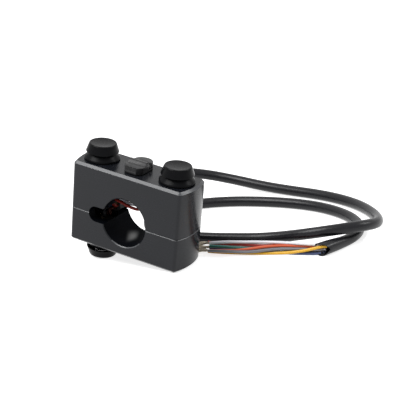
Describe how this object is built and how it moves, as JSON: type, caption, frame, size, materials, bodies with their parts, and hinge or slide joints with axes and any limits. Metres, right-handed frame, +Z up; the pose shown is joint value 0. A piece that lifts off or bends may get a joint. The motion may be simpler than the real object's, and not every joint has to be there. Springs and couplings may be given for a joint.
{
  "type": "handlebar switch cluster",
  "caption": "Black two-piece handlebar clamp with domed push buttons, a toothed slider on top and a sleeved cable ending in bare coloured leads.",
  "frame": {"origin": "centre of the bar bore, halfway through the housing", "axes": "+Y along the bar, pointing away from the pictured face; +X to the right as pictured; +Z up, with the cluster leaning as it lies on a table"},
  "size_m": [0.1314, 0.1126, 0.0546],
  "materials": {
    "black_gloss_plastic": "satin",
    "black_metal": "satin black anodised aluminium",
    "black_plastic": "matt",
    "black_rubber": "matt",
    "black_wire": "soft",
    "blue_wire": "soft",
    "brass": "plated",
    "dark_steel": "black oxide",
    "green_wire": "soft",
    "grey_plastic": "matt",
    "grey_wire": "soft",
    "inner_plastic": "phenolic brown",
    "orange_wire": "soft",
    "red_wire": "soft",
    "sleeve_rubber": "soft satin",
    "steel": "plated",
    "tinned_wire": "tinned strands",
    "white_wire": "soft",
    "yellow_wire": "soft"
  },
  "bodies": {
    "housing": {"bare_ends": "tinned_wire", "cable_grommet": "black_rubber", "cable_sleeve": "sleeve_rubber", "clamp_screws": "dark_steel", "inner_lead_black": "black_wire", "inner_lead_blue": "blue_wire", "inner_lead_green": "green_wire", "inner_lead_grey": "grey_wire", "inner_lead_orange": "orange_wire", "inner_lead_red": "red_wire", "inner_lead_white": "white_wire", "inner_lead_yellow": "yellow_wire", "lead_black": "black_wire", "lead_blue": "blue_wire", "lead_green": "green_wire", "lead_grey": "grey_wire", "lead_orange": "orange_wire", "lead_red": "red_wire", "lead_white": "white_wire", "lead_yellow": "yellow_wire", "left_button_body": "black_plastic", "left_button_gasket": "black_rubber", "left_button_lock_nut": "steel", "left_button_spring": "steel", "left_button_terminal_base": "inner_plastic", "left_button_terminals": "brass", "lower_button_body": "black_plastic", "lower_button_gasket": "black_rubber", "lower_button_lock_nut": "steel", "lower_button_spring": "steel", "lower_button_terminal_base": "inner_plastic", "lower_button_terminals": "brass", "lower_housing": "black_metal", "right_button_body": "black_plastic", "right_button_gasket": "black_rubber", "right_button_lock_nut": "steel", "right_button_spring": "steel", "right_button_terminal_base": "inner_plastic", "right_button_terminals": "brass", "slide_case": "steel", "slide_frame": "steel", "slide_screws": "steel", "slide_terminals": "brass", "upper_housing": "black_metal"},
    "left_button": {"left_button_cap": "black_gloss_plastic", "left_button_contact": "brass"},
    "right_button": {"right_button_cap": "black_gloss_plastic", "right_button_contact": "brass"},
    "lower_button": {"lower_button_cap": "black_gloss_plastic", "lower_button_contact": "brass"},
    "slider": {"slider_knob": "grey_plastic", "slide_actuator": "black_plastic"}
  },
  "joints": [
    {"name": "left_button_press", "type": "slide", "parent": "housing", "child": "left_button", "axis": [-0.1893, 0, -0.9819], "range_m": [0, 0.0012], "stiffness_N_per_m": 1000, "springref_m": -0.002, "deforming": ["left_button_spring"]},
    {"name": "right_button_press", "type": "slide", "parent": "housing", "child": "right_button", "axis": [-0.1893, 0, -0.9819], "range_m": [0, 0.0012], "stiffness_N_per_m": 1000, "springref_m": -0.002, "deforming": ["right_button_spring"]},
    {"name": "lower_button_press", "type": "slide", "parent": "housing", "child": "lower_button", "axis": [0.1893, 0, 0.9819], "range_m": [0, 0.0012], "stiffness_N_per_m": 1000, "springref_m": -0.002, "deforming": ["lower_button_spring"]},
    {"name": "slider_slide", "type": "slide", "parent": "housing", "child": "slider", "axis": [0, 1, 0], "range_m": [-0.002, 0.002]}
  ]
}
